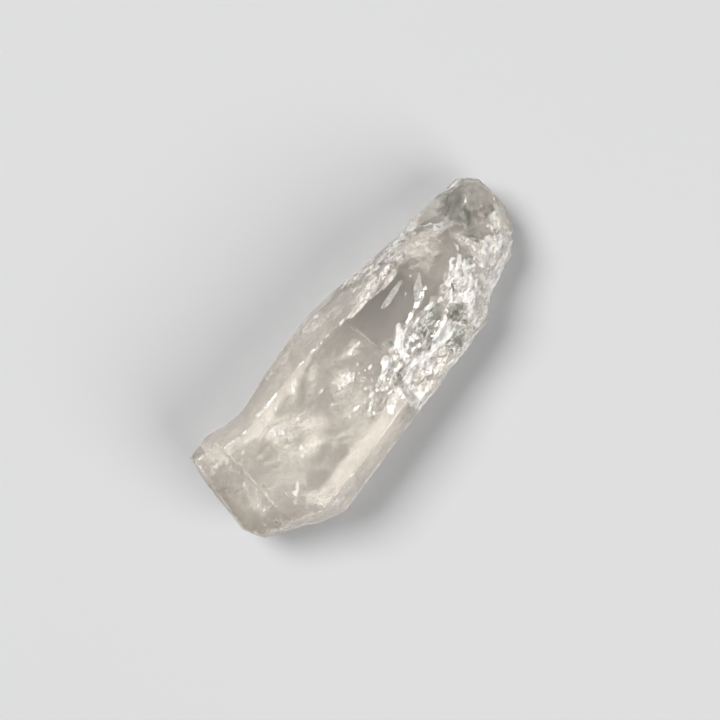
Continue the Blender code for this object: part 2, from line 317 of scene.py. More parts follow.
def block_net(steps):
    """A closed block of small squares, a little larger than the crystal."""
    size = np.array((TIP_X - BASE_X, NET_WIDTH, THICKNESS)) + NET_CLEARANCE
    middle = np.array(((TIP_X + BASE_X) / 2, NET_MIDDLE_Y, THICKNESS / 2))
    net = bmesh.new()
    bmesh.ops.create_cube(net, size=1.0)
    bmesh.ops.scale(net, vec=size, verts=net.verts)
    bmesh.ops.translate(net, vec=middle, verts=net.verts)
    for axis in range(3):
        runs = [e for e in net.edges if abs((e.verts[1].co - e.verts[0].co)[axis]) > size[axis] / 2]
        cuts = round(size[axis] / steps[axis]) - 1
        bmesh.ops.subdivide_edges(net, edges=runs, cuts=cuts, use_grid_fill=True)
    bmesh.ops.recalc_face_normals(net, faces=net.faces)
    return net


def out_to_surface(start, way, worked):
    """Walks each point out from inside the crystal until it meets the surface."""
    gone = np.zeros(len(start))
    for _ in range(WALK_STEPS):
        gap = beyond_crystal(start + way * gone[:, None]) + worked
        gone -= WALK_SHARE * gap
    return start + way * gone[:, None]


def rays_to(net_points):
    """Where each point's way out starts, on a line down the middle, and its direction."""
    x = net_points[:, 0]
    spine = np.column_stack((np.clip(x, *SPINE_ENDS), np.full(len(x), SPINE_Y), np.full(len(x), SPINE_Z)))
    way = net_points - spine
    return spine, way / np.linalg.norm(way, axis=1)[:, None]


def crystal_points(net_points):
    """Each point of the block drawn in to the crystal."""
    spine, way = rays_to(net_points)
    plain = out_to_surface(spine, way, np.zeros(len(spine)))
    return out_to_surface(spine, way, relief(plain))


class Shade:
    """A value on a surface. Sums and products of values add Math nodes, and node() adds any other."""

    def __init__(self, tree, socket):
        self.tree = tree
        self.socket = socket

    def node(self, kind, settings, inputs, output=0):
        made = self.tree.nodes.new(kind)
        for name, setting in settings.items():
            setattr(made, name, setting)
        for name, given in inputs.items():
            if isinstance(given, Shade):
                self.tree.links.new(given.socket, made.inputs[name])
            else:
                made.inputs[name].default_value = given
        return Shade(self.tree, made.outputs[output])

    def math(self, operation, first, second=0.0):
        return self.node("ShaderNodeMath", {"operation": operation}, {0: first, 1: second})

    def __add__(self, other):
        return self.math("ADD", self, other)

    def __sub__(self, other):
        return self.math("SUBTRACT", self, other)

    def __rsub__(self, other):
        return self.math("SUBTRACT", other, self)

    def __mul__(self, other):
        return self.math("MULTIPLY", self, other)

    def turned(self, operation, other, **more):
        """A Vector Math node on this vector and another."""
        inputs = {0: self, 1: other, **more}
        return self.node("ShaderNodeVectorMath", {"operation": operation}, inputs, "Vector")

    __radd__ = __add__
    __rmul__ = __mul__


def finish(name, settings):
    """A new material, its Principled shader, and a Shade of the place on the object in metres."""
    material = bpy.data.materials.new(name)
    material.use_nodes = True
    tree = material.node_tree
    shader = tree.nodes["Principled BSDF"]
    for socket, setting in settings.items():
        shader.inputs[socket].default_value = setting
    place = Shade(tree, None).node("ShaderNodeTexCoord", {}, {}, "Object")
    return material, shader, place


def feed(shader, socket, value):
    value.tree.links.new(value.socket, shader.inputs[socket])


def eased(value, low, high):
    """0 below low and 1 above high on a surface, as smooth() is on points."""
    settings = {"interpolation_type": "SMOOTHSTEP"}
    return value.node("ShaderNodeMapRange", settings, {"Value": value, "From Min": low, "From Max": high})


def grain(place, size, detail, roughness):
    """Noise from 0 to 1 whose patches are about a size in metres."""
    inputs = {"Vector": place, "Scale": 1.0 / size, "Detail": detail, "Roughness": roughness}
    return place.node("ShaderNodeTexNoise", {}, inputs, "Fac")


def stretched(place, x, y, z, heading=0.0):
    """The place turned to a heading and scaled each way, so that patterns are drawn out along it."""
    rotation = (0.0, 0.0, -math.radians(heading))
    turn = place.node("ShaderNodeMapping", {}, {"Vector": place, "Rotation": rotation})
    return place.node("ShaderNodeMapping", {}, {"Vector": turn, "Scale": (x, y, z)})


def shards(place, size):
    """A random colour for each flat-sided cell of about a size in metres."""
    inputs = {"Vector": place, "Scale": 1.0 / size}
    return place.node("ShaderNodeTexVoronoi", {"distance": "CHEBYCHEV"}, inputs, "Color")


def kept(place, name):
    """The value that keep_on() stored on the mesh under a name."""
    return place.node("ShaderNodeAttribute", {"attribute_name": name}, {}, "Fac")


def blend(share, first, second):
    """From the first colour to the second as the share goes from 0 to 1."""
    return share.node("ShaderNodeMix", {"data_type": "RGBA"}, {0: share, 6: first, 7: second}, 2)


QUARTZ_IOR = 1.544
QUARTZ_TINT = (0.995, 0.99, 0.98, 1.0)
INSIDE_TINT = (0.92, 0.885, 0.835, 1.0)
INSIDE_DENSITY = 58.0
WHITE_DEEP = (0.29, 0.278, 0.26, 1.0)  # bruised quartz in its hollows and on its crests, and painted highlights on edges and struck flakes
WHITE_BRIGHT = (0.57, 0.56, 0.54, 1.0)
MILK_TINT = (0.54, 0.49, 0.43, 1.0)
SMOKE_LIGHT = (0.26, 0.258, 0.215, 1.0)  # the grey-green mineral, where it is thin and where thick, and painted shade over the clear panes
SMOKE_DARK = (0.07, 0.075, 0.06, 1.0)


def crystal_skin():
    """Clear quartz with satin faces, whitened where it is bruised and by painted highlights on edges and
    flakes, milky where pores lie shallow, and darkened by the grey-green mineral and by painted shade over
    the clear panes.
    """
    settings = {"Base Color": QUARTZ_TINT, "Transmission Weight": 1.0, "IOR": QUARTZ_IOR}
    material, clear, place = finish("crystal_skin", settings)
    worked, bruise_and_highlight, milk = kept(place, "worked"), kept(place, "bruise_and_highlight"), kept(place, "milk")
    patches = grain(stretched(place, 0.5, 1.0, 1.0), 0.003, 4.0, 0.6)
    satin = 0.03 + 0.1 * eased(patches, 0.38, 0.66)
    feed(clear, "Roughness", satin + 0.06 * worked + 0.45 * kept(place, "under"))
    striae = grain(stretched(place, 0.1, 1.0, 1.0), 0.0006, 5.0, 0.65)
    pits = grain(place, 0.00026, 3.0, 0.6)
    bumps = {"Strength": 0.5, "Distance": 0.0001, "Height": 0.7 * striae + pits * (0.25 + worked)}
    bumped = place.node("ShaderNodeBump", {}, bumps)
    large_shards = shards(stretched(place, 0.5, 1.0, 1.0, 28.0), 0.0011)
    small_shards = shards(stretched(place, 0.55, 1.0, 1.0, 12.0), 0.00048)
    tilt = large_shards.turned("ADD", small_shards).turned("SUBTRACT", (1.0, 1.0, 1.0))
    tilt = tilt.turned("SCALE", (0.0, 0.0, 0.0), Scale=0.55 * worked)
    broken_up = bumped.turned("ADD", tilt).turned("NORMALIZE", (0.0, 0.0, 0.0))
    feed(clear, "Normal", broken_up)

    crumbs = grain(stretched(place, 0.45, 1.0, 1.0, 20.0), 0.0006, 6.0, 0.7)
    streaks = grain(stretched(place, 0.2, 1.0, 1.0, 30.0), 0.0003, 4.0, 0.65)
    shard_tone = large_shards.node("ShaderNodeSeparateColor", {}, {"Color": large_shards}, 0)
    chip_tone = small_shards.node("ShaderNodeSeparateColor", {}, {"Color": small_shards}, 1)
    uneven = 1.3 * (streaks - 0.5) + 0.8 * (crumbs - 0.5)
    uneven = uneven + 0.34 * (shard_tone - 0.5) + 0.34 * (chip_tone - 0.5)
    # Bruised and chipped quartz shows white, with painted highlights on edges and struck flakes; streaks,
    # crumbs and shards break it up.
    ragged = eased(bruise_and_highlight + uneven, 0.44, 0.58)
    combed = bruise_and_highlight * eased(streaks, 0.34, 0.6)
    whitened = 0.84 * ragged + 0.36 * combed * (1.0 - ragged)
    cloud = eased(grain(stretched(place, 0.45, 1.0, 0.7), 0.004, 5.0, 0.62), 0.34, 0.68)
    feathers = eased(grain(stretched(place, 0.4, 1.0, 1.0, -28.0), 0.0009, 6.0, 0.7), 0.36, 0.64)
    milky = milk * (0.15 + 0.35 * cloud + 0.85 * feathers)
    mottle = grain(stretched(place, 0.7, 1.0, 1.0, 40.0), 0.0011, 6.0, 0.68)
    # The grey-green mineral, and the painted shade over the clear panes, mottled.
    smoke_and_shade = kept(place, "smudge_and_shade") * (0.68 + 0.32 * eased(mottle, 0.38, 0.6))
    lines = eased(grain(stretched(place, 0.05, 1.0, 1.0, -3.0), 0.00034, 4.0, 0.6), 0.5, 0.62)
    striped = kept(place, "striped") * lines

    white = place.node("ShaderNodeBsdfPrincipled", {}, {"Roughness": 0.45, "IOR": QUARTZ_IOR})
    tones = blend(eased(crumbs, 0.34, 0.66), WHITE_DEEP, WHITE_BRIGHT)
    tones = blend(ragged, MILK_TINT, tones)
    smoke = blend(eased(mottle, 0.4, 0.64), SMOKE_LIGHT, SMOKE_DARK)
    feed(white.socket.node, "Base Color", blend(1.7 * smoke_and_shade - ragged, tones, smoke))
    feed(white.socket.node, "Normal", broken_up)
    share = milky.math("MAXIMUM", milky, whitened)
    share = share.math("MAXIMUM", share, 0.45 * striped)
    share = share.math("MAXIMUM", share, 0.5 * smoke_and_shade)
    both = {0: share, 1: Shade(place.tree, clear.outputs[0]), 2: white}
    mixed = place.node("ShaderNodeMixShader", {}, both)
    output = place.tree.nodes["Material Output"]
    place.tree.links.new(mixed.socket, output.inputs["Surface"])
    absorbed = {"Color": INSIDE_TINT, "Density": INSIDE_DENSITY}
    inside = place.node("ShaderNodeVolumeAbsorption", {}, absorbed)
    place.tree.links.new(inside.socket, output.inputs["Volume"])
    return material


def keep_on(mesh, name, values):
    """Stores one value for each point of a mesh, for its material to read."""
    mesh.attributes.new(name, "FLOAT", "POINT").data.foreach_set("value", values.astype(np.float32))


def nearest_cell(points, cell, seed):
    """A number from 0 to 1 for the flat-sided cell that each point lies in."""
    jitter = lattice(seed, 4)
    place = points / np.array(cell)
    corner = np.floor(place).astype(int)
    nearest, tone = np.full(len(points), np.inf), np.zeros(len(points))
    for step in np.ndindex(3, 3, 3):
        box = corner + step - 1
        drawn = jitter[tuple((box % LATTICE).T)]
        away = flat_sided(place - box - drawn[:, :3])
        closer = away < nearest
        nearest, tone = np.where(closer, away, nearest), np.where(closer, drawn[:, 3], tone)
    return tone


def stands_out(points, mesh):
    """How sharply the surface stands out round each point: high on an edge, below 0 in a hollow."""
    pairs = np.empty(len(mesh.edges) * 2, dtype=np.int32)
    mesh.edges.foreach_get("vertices", pairs)
    first, second = pairs.reshape(-1, 2).T
    normals = np.empty(len(points) * 3, dtype=np.float32)
    mesh.vertices.foreach_get("normal", normals)
    normals = normals.reshape(-1, 3)
    count = np.bincount(np.append(first, second), minlength=len(points))

    def around(values):
        total = np.bincount(first, values[second], len(points))
        return (total + np.bincount(second, values[first], len(points))) / count

    lean = points - np.column_stack([around(column) for column in points.T])
    length = np.linalg.norm(points[first] - points[second], axis=1)
    spread = np.bincount(first, length, len(points)) + np.bincount(second, length, len(points))
    bulge = (lean * normals).sum(axis=1) / (spread / count)
    return 0.5 * bulge + 0.5 * around(around(bulge))


# White bruises and chips on the front and its bevels, with painted highlights along edges and on struck
# facets: from X, Y to X, Y, half width, how white.
BRUISES_AND_HIGHLIGHTS = (
    # The chip and the edge of the ledge near the base, whose white line is partly chipped quartz and partly a
    # painted highlight, with the ticks beside it.
    (-21.0, -5.8, -19.9, -5.0, 0.34, 0.8), (-20.2, -5.3, -18.7, -4.6, 0.22, 0.85),
    (-21.3, 5.6, -22.2, 0.8, 0.12, 0.62), (-22.2, 0.8, -23.2, -4.2, 0.12, 0.7),
    (-23.2, -4.3, -21.4, -5.6, 0.1, 0.5), (-20.7, 4.7, -19.6, 4.2, 0.14, 0.55),
    (-23.6, 1.4, -23.4, 1.4, 0.16, 1.0), (-21.2, 5.8, -20.4, 6.9, 0.1, 0.5),
    (-20.4, 6.9, -18.6, 6.6, 0.09, 0.45), (-20.6, -6.2, -20.8, -7.6, 0.12, 0.5),
    (-18.2, -10.4, -16.5, -10.9, 0.3, 0.6), (-15.8, -9.2, -15.2, -9.9, 0.2, 0.7),
    (-15.2, -10.2, -14.5, -11.5, 0.1, 0.7), (-14.4, 5.8, -14.2, 5.6, 0.18, 0.8),
    (-15.0, -2.2, -14.4, -1.9, 0.16, 0.8),
    # Flecks on the front, and the bruise on the left bevel.
    (-12.6, 4.1, -11.9, 4.8, 0.05, 0.6), (-11.9, 4.2, -11.2, 5.0, 0.04, 0.55),
    (-9.0, 3.8, -7.6, 4.6, 0.05, 0.6), (-8.0, 4.0, -6.8, 4.8, 0.04, 0.5),
    (-7.0, -1.7, -5.9, -2.5, 0.1, 0.8), (-4.4, -0.5, -2.2, -0.2, 0.3, 0.42),
    (-4.2, -1.2, -2.0, -1.5, 0.4, 0.42), (-0.4, 0.4, 2.4, 0.8, 0.2, 0.4),
    (-1.6, 7.9, 1.6, 7.4, 0.6, 0.42), (-0.4, 7.0, 1.2, 6.6, 0.4, 0.4),
    (-2.6, 6.6, -0.6, 6.2, 0.2, 0.42), (2.2, 6.4, 5.2, 5.6, 0.12, 0.6),
    (-1.0, -2.2, 0.8, -2.8, 0.24, 0.5), (-4.9, -2.2, -3.2, -3.2, 0.12, 0.45),
    # Feathered flecks in the clouds, and the hatched patch right of them.
    (-15.6, 2.9, -14.9, 1.9, 0.22, 0.6), (-14.9, 2.6, -14.2, 1.2, 0.26, 0.66),
    (-14.0, 2.4, -13.2, 1.6, 0.16, 0.54), (-14.6, 0.6, -13.4, 0.0, 0.18, 0.54),
    (-16.0, 1.2, -15.3, 0.4, 0.14, 0.54), (-12.6, 1.6, -11.4, 0.9, 0.2, 0.54),
    (-12.0, 0.2, -10.6, -0.4, 0.16, 0.5), (-15.2, -2.6, -13.8, -2.9, 0.2, 0.6),
    (-13.4, -3.2, -12.2, -3.4, 0.2, 0.62), (-12.6, -2.0, -11.4, -2.2, 0.14, 0.5),
    (-14.2, -1.6, -13.2, -1.2, 0.12, 0.5), (-4.4, 0.0, -3.9, -1.6, 0.1, 0.66),
    (-3.6, 0.1, -3.2, -1.5, 0.1, 0.72), (-2.9, 0.0, -2.5, -1.4, 0.1, 0.72),
    (-2.2, -0.2, -1.9, -1.2, 0.08, 0.6), (-5.6, -3.6, -4.2, -4.4, 0.1, 0.6),
    (-3.4, -3.4, -2.2, -4.2, 0.1, 0.6), (-1.8, -2.4, -0.6, -3.2, 0.1, 0.6),
    (-0.4, -1.2, 1.0, -1.8, 0.08, 0.54), (0.2, 0.9, 0.9, 0.2, 0.14, 0.72),
    (1.4, 1.0, 2.2, 0.4, 0.12, 0.66), (-6.6, 0.8, -5.6, 0.2, 0.1, 0.54),
    (-8.4, 0.4, -7.4, -0.4, 0.08, 0.54), (-9.6, -2.2, -8.4, -2.8, 0.08, 0.54),
    (-7.8, -4.2, -6.6, -4.8, 0.08, 0.54),
    # The streaks where the struck side begins.
    (-5.9, -4.6, -4.0, -5.1, 0.1, 0.65), (-5.2, -6.9, -3.4, -5.6, 0.16, 0.7),
    (-3.6, -6.4, -1.6, -4.9, 0.2, 0.6), (-4.6, -6.9, -2.6, -7.2, 0.14, 0.7),
    (-2.4, -7.3, -1.0, -7.1, 0.16, 0.9), (-2.3, -7.9, -1.0, -7.7, 0.14, 0.9),
    (-1.0, -6.2, 0.6, -4.8, 0.2, 0.6), (-0.4, -6.9, 1.4, -5.9, 0.2, 0.65),
    (1.0, -4.9, 2.8, -3.8, 0.42, 0.85), (-2.6, -5.0, 0.2, -3.6, 0.14, 0.5),
    (-1.6, -8.6, 0.4, -8.4, 0.2, 0.5), (0.1, -7.9, 0.3, -11.0, 0.6, 0.62),
    (0.9, -10.9, 2.6, -12.0, 0.5, 0.55),
    # The forked ridge, and the broad white patch right of it: partly bruised quartz, partly a painted
    # reflection of the light off its flat facets.
    (7.6, -2.4, 6.4, -3.6, 0.3, 0.9), (6.9, -3.4, 5.6, -4.1, 0.55, 0.95),
    (5.5, -4.2, 4.7, -5.6, 0.42, 0.95), (4.8, -5.4, 4.2, -6.8, 0.42, 1.0),
    (4.3, -6.8, 5.4, -8.0, 0.62, 1.0), (3.9, -7.2, 2.4, -8.6, 0.5, 0.9),
    (2.6, -8.4, 0.6, -9.2, 0.7, 0.8), (1.2, -9.2, 0.4, -10.3, 0.6, 0.75),
    (5.2, -7.9, 7.4, -8.7, 0.4, 0.85), (7.2, -8.7, 9.2, -8.2, 0.5, 1.0),
    (9.0, -8.3, 11.6, -7.9, 0.72, 1.05), (7.8, -9.3, 11.6, -9.0, 0.16, 0.95),
    (11.6, -7.4, 13.2, -6.6, 0.22, 0.8), (7.9, -6.9, 9.2, -6.3, 0.16, 0.7),
    (8.4, -6.2, 12.4, -4.2, 0.14, 0.75), (9.6, -5.9, 12.6, -4.8, 0.1, 0.65),
    (8.0, -4.4, 9.6, -3.9, 0.22, 0.7), (5.6, -5.4, 7.0, -5.0, 0.14, 0.65),
    (5.8, -6.7, 7.2, -6.4, 0.18, 0.65), (11.6, -4.3, 12.9, -4.4, 0.14, 0.95),
    (12.6, -5.4, 14.2, -4.9, 0.3, 0.75),
    # The lower rows of flakes, and the rim under them.
    (3.4, -9.8, 5.8, -9.2, 0.2, 0.7), (4.6, -10.7, 7.4, -10.5, 0.12, 0.9),
    (7.4, -10.6, 9.8, -10.8, 0.12, 0.9), (2.4, -11.2, 5.0, -10.4, 0.14, 0.75),
    (4.4, -11.3, 9.4, -11.2, 0.1, 0.6), (6.4, -9.9, 8.0, -9.6, 0.2, 0.6),
    (9.4, -11.6, 13.4, -11.0, 0.14, 0.85), (12.2, -11.2, 15.4, -10.4, 0.2, 0.85),
    (13.2, -9.3, 16.6, -8.5, 0.13, 0.8), (0.0, -12.1, 8.0, -12.1, 0.2, 0.85),
    (8.0, -12.1, 16.6, -12.2, 0.26, 0.85), (-17.5, -12.2, 0.0, -12.2, 0.12, 0.6),
    (14.4, -11.6, 17.4, -10.9, 0.3, 0.9), (16.4, -11.9, 18.9, -10.3, 0.24, 0.85),
    (15.6, -9.4, 18.0, -8.6, 0.3, 0.55),
    # The flakes that rise towards the tip.
    (14.6, -6.4, 17.4, -4.4, 0.2, 0.8), (15.4, -6.9, 18.6, -4.9, 0.22, 0.8),
    (16.4, -4.6, 19.6, -2.9, 0.22, 0.95), (17.4, -5.4, 20.6, -3.4, 0.34, 0.95),
    (18.4, -6.2, 20.4, -4.6, 0.26, 0.85), (15.0, -5.6, 16.6, -4.6, 0.16, 0.75),
    (16.0, -7.8, 19.4, -6.6, 0.26, 0.6), (17.8, -8.6, 21.8, -7.6, 0.34, 0.6),
    (20.4, -8.9, 24.6, -8.6, 0.26, 0.8), (19.4, -9.9, 24.2, -9.2, 0.4, 0.95),
    (24.2, -9.0, 27.0, -8.4, 0.3, 0.85), (21.8, -6.6, 24.4, -6.0, 0.5, 0.8),
    (23.0, -6.2, 25.2, -5.2, 0.42, 0.95), (24.6, -7.2, 26.6, -6.6, 0.4, 0.75),
    (26.2, -7.6, 27.8, -6.4, 0.3, 0.9), (27.0, -7.0, 28.2, -7.2, 0.22, 0.95),
    (20.0, -5.3, 21.4, -6.6, 0.2, 0.65), (22.4, -7.6, 24.6, -7.4, 0.24, 0.7),
    # The chain of chips along the upper left edge.
    (8.0, 7.3, 9.2, 7.2, 0.24, 0.7), (10.0, 6.4, 12.2, 5.6, 0.14, 0.7),
    (10.6, 5.3, 12.6, 4.9, 0.2, 0.8), (13.2, 5.2, 14.8, 5.0, 0.18, 0.85),
    (15.2, 5.0, 16.6, 4.5, 0.2, 0.8), (16.6, 4.9, 18.4, 4.7, 0.2, 0.85),
    (18.6, 5.0, 20.6, 4.1, 0.24, 0.8), (20.4, 4.8, 23.0, 4.5, 0.2, 0.6),
    (21.0, 3.2, 22.2, 2.6, 0.14, 0.75), (5.6, 4.7, 9.6, 4.4, 0.1, 0.6),
    (15.8, 4.0, 17.0, 3.3, 0.14, 0.6), (12.6, 4.3, 15.0, 3.9, 0.1, 0.55),
    # The small diamond, the tip's upper flake, and the rims of the fan.
    (21.7, 1.4, 22.3, 2.1, 0.18, 0.95), (22.3, 2.1, 22.9, 1.3, 0.18, 0.8),
    (22.9, 1.3, 22.3, 0.8, 0.2, 0.95), (22.2, 0.8, 21.7, 1.4, 0.18, 0.95),
    (26.8, 4.0, 28.4, 3.6, 0.16, 0.9), (28.2, 3.5, 29.5, 3.2, 0.22, 1.0),
    (28.0, 2.9, 29.0, 2.9, 0.14, 0.7), (21.6, -2.0, 20.6, -4.4, 0.1, 0.7),
    (24.2, -4.2, 24.8, -5.3, 0.12, 0.8), (24.9, -0.9, 27.0, 0.8, 0.12, 0.55),
    (27.0, 0.8, 29.0, 2.1, 0.12, 0.55), (22.6, -1.6, 23.2, -4.6, 0.5, 0.5),
    (27.4, -4.4, 29.8, -4.4, 0.9, 0.58), (26.8, -6.0, 28.4, -5.6, 0.9, 0.64),
    (29.6, -2.8, 29.9, -4.6, 0.5, 0.6), (30.8, 1.6, 31.2, -1.4, 0.2, 0.7),
)
# How much of the skin the shallow pores whiten: all over, over the clouds, on the bevels, low down.
SKIN_MILK = 0.06
CLOUD_MILK = 0.16
BEVEL_MILK = 0.32
WALL_MILK = 0.35
# The lists below give soft ovals: middle, half length, half width, heading of the length, strength.
# Grey-green and smoky zones of the tip, and dark specks.
SMUDGES = (
    (26.2, 2.2, 2.2, 2.0, 20.0, 0.9), (25.4, 0.2, 1.3, 2.0, 20.0, 0.85),
    (28.4, 0.6, 2.0, 2.2, 35.0, 0.5), (29.6, -0.2, 1.0, 2.2, 10.0, 0.45),
    (25.3, -1.8, 1.0, 0.8, 0.0, 0.6), (28.9, -2.9, 1.8, 0.26, 6.0, 1.1),
    (29.3, -3.3, 0.5, 0.4, 30.0, 1.0), (25.8, -4.1, 1.2, 0.6, 10.0, 0.45),
    (30.4, 0.4, 0.3, 1.8, 8.0, 0.55), (28.6, 2.6, 1.4, 0.5, -20.0, 0.6),
    (-25.4, 3.2, 0.8, 0.3, -30.0, 0.7), (-24.9, 3.6, 0.3, 0.3, 0.0, 0.7),
    (-23.6, 8.7, 0.8, 0.2, -35.0, 0.6), (-20.0, 5.5, 1.0, 0.18, -12.0, 0.6),
    (-27.5, -4.3, 0.2, 0.16, 0.0, 0.9), (-3.4, -7.5, 1.4, 0.13, -14.0, 0.75),
    (7.8, -7.85, 0.3, 0.2, 15.0, 1.4), (2.5, -8.9, 0.4, 0.13, 0.0, 0.9),
    (20.7, 3.1, 0.6, 0.12, -50.0, 0.7), (-26.6, 5.1, 1.1, 0.4, -10.0, 0.35),
    (-18.8, 3.4, 1.6, 0.6, -10.0, 0.25),
)
# Denser clouds of pores, in the haze and under the skin.
CLOUDS = (
    (-14.6, 1.9, 1.9, 1.6, -50.0, 1.2), (-12.4, 0.6, 2.4, 1.5, -15.0, 0.8),
    (-13.6, -2.8, 2.4, 0.8, -12.0, 1.1), (-11.2, -1.2, 1.6, 1.3, -30.0, 0.8),
    (-15.6, -0.6, 1.8, 1.2, 40.0, 0.7), (-3.3, -0.8, 1.5, 1.1, 5.0, 1.2),
    (-6.0, 2.6, 2.2, 0.6, 25.0, 0.7), (0.9, 0.6, 1.5, 0.7, 0.0, 0.8), (-9.0, 3.6, 1.8, 0.6, 20.0, 0.6),
    (-5.0, -5.4, 3.6, 1.6, 25.0, 0.5), (-10.0, -8.4, 6.0, 1.2, 2.0, 0.2),
    (-17.6, -9.6, 2.0, 1.4, -10.0, 0.4), (-19.0, -7.2, 0.8, 1.6, 10.0, 1.0),
    (-18.2, -3.4, 2.0, 1.4, 10.0, 0.4), (-25.0, 0.0, 2.0, 3.0, 10.0, 0.3),
    (-23.0, 7.4, 1.8, 1.0, -20.0, 0.25), (-5.0, 7.4, 5.0, 0.7, 2.0, 0.7),
    (0.6, 7.2, 2.4, 0.9, -6.0, 0.9), (18.6, 1.6, 2.4, 1.8, -15.0, 0.9),
    (17.0, 3.4, 2.6, 0.8, -20.0, 0.6), (6.2, -3.6, 1.2, 0.8, 50.0, 0.8),
    (4.4, -6.4, 1.0, 2.2, 0.0, 0.9), (9.4, -8.2, 2.6, 1.0, 6.0, 0.9), (1.4, -9.2, 1.6, 1.4, 0.0, 1.0),
    (18.2, -5.0, 2.6, 1.4, 40.0, 0.9), (23.8, -6.2, 2.4, 1.5, 10.0, 1.3),
    (22.7, -3.4, 0.8, 1.8, 0.0, 1.5), (28.8, -5.0, 2.2, 1.5, -40.0, 2.4),
    (20.6, -8.8, 3.0, 1.0, 15.0, 0.9), (8.0, -11.4, 7.0, 0.7, 0.0, 1.1),
    (26.0, -3.4, 1.2, 0.8, 0.0, 0.6), (30.9, 0.2, 0.4, 1.8, 8.0, 2.2),
    (27.4, -7.6, 1.6, 0.8, 30.0, 1.8), (-9.0, -11.4, 10.0, 1.0, 0.0, 0.35),
    (24.0, -8.2, 3.0, 0.8, 15.0, 1.0), (29.4, -4.0, 1.4, 1.2, 0.0, 1.2),
)
# Clear panes among the scars, where one looks down into the crystal. Painted shade darkens them, for the
# depth seen through them.
PANES = (
    (-3.9, -5.8, 1.0, 0.35, 15.0, 0.9), (1.8, -6.9, 1.6, 0.6, 8.0, 1.1),
    (4.7, -3.0, 0.9, 0.5, -45.0, 0.9), (6.6, -5.8, 1.7, 1.25, 0.0, 1.0),
    (9.3, -4.7, 0.9, 0.4, 0.0, 1.0), (10.8, -5.9, 3.0, 1.2, 22.0, 1.2),
    (13.9, -7.7, 1.2, 1.4, 0.0, 1.1), (11.2, -10.1, 3.0, 0.9, 8.0, 1.2),
    (-1.2, -10.8, 2.2, 0.5, 0.0, 0.8), (16.4, -5.4, 1.2, 0.4, 30.0, 0.9),
    (15.1, -8.2, 1.1, 0.7, 0.0, 0.8), (21.4, -2.9, 2.3, 0.35, 67.0, 1.0),
    (23.9, -3.2, 1.8, 0.3, -62.0, 1.0), (15.2, -4.8, 0.8, 0.5, 0.0, 0.9),
    (3.4, -9.9, 1.2, 0.5, 10.0, 0.6),
)


def ovals_at(points, ovals, ragged, softness=0.6):
    """The greatest strength of the ovals at each place, seen from above, with ragged edges."""
    x, y = points.T[:2]
    most = np.zeros(len(points))
    for middle_x, middle_y, length, width, heading, strength in ovals:
        turn = math.radians(heading)
        ahead = ((x - middle_x) * math.cos(turn) + (y - middle_y) * math.sin(turn)) / length
        aside = ((y - middle_y) * math.cos(turn) - (x - middle_x) * math.sin(turn)) / width
        within = 1.0 + softness / 2 - np.hypot(ahead, aside) + ragged
        most = np.maximum(most, strength * smooth(within, 0.0, softness))
    return most


def milk_of(points):
    """How milky the quartz is from place to place along and across the crystal."""
    x, y = points.T[:2]
    x = x + 1.2 * swell(points, (4.0, 2.5, 4.0), 67)
    y = y + 0.9 * swell(points, (3.0, 3.0, 3.0), 68)
    window = smooth(x, 2.4, 5.2) * smooth(-x, -16.5, -12.5) * smooth(y, -5.0, -2.2) * smooth(-y, -4.8, -2.4)
    base = 1.0 - 0.45 * smooth(x, -4.0, 4.0)
    ends = (1.0 - 0.6 * smooth(x, 23.6, 25.4)) * (1.0 - 0.35 * smooth(-x, 22.4, 24.0))
    return base * (1.0 - 0.8 * window) * ends


def bruised_and_highlighted(points, mesh, worked, panes):
    """How white each place on the surface is: chipped edges, struck flakes and bruises, with painted
    highlights along the edges and on the flakes.
    """
    x, y, z = points.T
    # Sharp edges show white: partly chipped quartz, partly a painted highlight along the edge.
    edge = smooth(stands_out(points, mesh) + 0.01 * swell(points, (1.6, 0.9, 0.9), 61), 0.01, 0.05)
    white = edge * (0.36 + 0.26 * swell(points, (4.0, 2.0, 2.0), 62) + 0.2 * worked)
    flaked = nearest_cell(points, ETCHED_CELL, 63)
    chipped = nearest_cell(points, SMALL_CELL, 64)
    # Struck flakes whiten cell by cell, and more so low down on the side: partly frosted quartz, partly
    # painted glints off their facets.
    white = np.maximum(white, worked * (0.2 * flaked + 0.18 * chipped) * (1.0 + 0.7 * smooth(-z, -8.0, -4.0)))
    top = smooth(z, 5.2, 7.2)
    ragged = 0.12 * swell(points, (0.8, 0.5, 0.5), 65) + 0.08 * swell(points, (0.4, 0.3, 0.3), 66)
    white = white * (1.0 - 0.9 * panes) * (1.0 - 0.9 * np.minimum(ovals_at(points, SMUDGES, ragged), 1.0))
    for from_x, from_y, to_x, to_y, width, whiteness in BRUISES_AND_HIGHLIGHTS:
        step_x, step_y = to_x - from_x, to_y - from_y
        ahead = (x - from_x) * step_x + (y - from_y) * step_y
        share = np.clip(ahead / (step_x ** 2 + step_y ** 2), 0.0, 1.0)
        away = np.hypot(x - from_x - share * step_x, y - from_y - share * step_y) - width + ragged
        white = np.maximum(white, 0.8 * whiteness * top * smooth(-away, -0.26, 0.12))
    return white


def smudged_and_shaded(points):
    """How much of the dark inclusion shows at each place, with painted shade over the clear panes."""
    torn = 0.3 * swell(points, (0.9, 0.7, 0.7), 81) + 0.2 * swell(points, (0.4, 0.35, 0.35), 82)
    # The clear panes take painted shade, at seven tenths, for the dark depth seen down through them.
    dark = np.maximum(ovals_at(points, SMUDGES, torn), 0.7 * ovals_at(points, PANES, torn))
    return smooth(points[:, 2], 4.0, 6.0) * dark


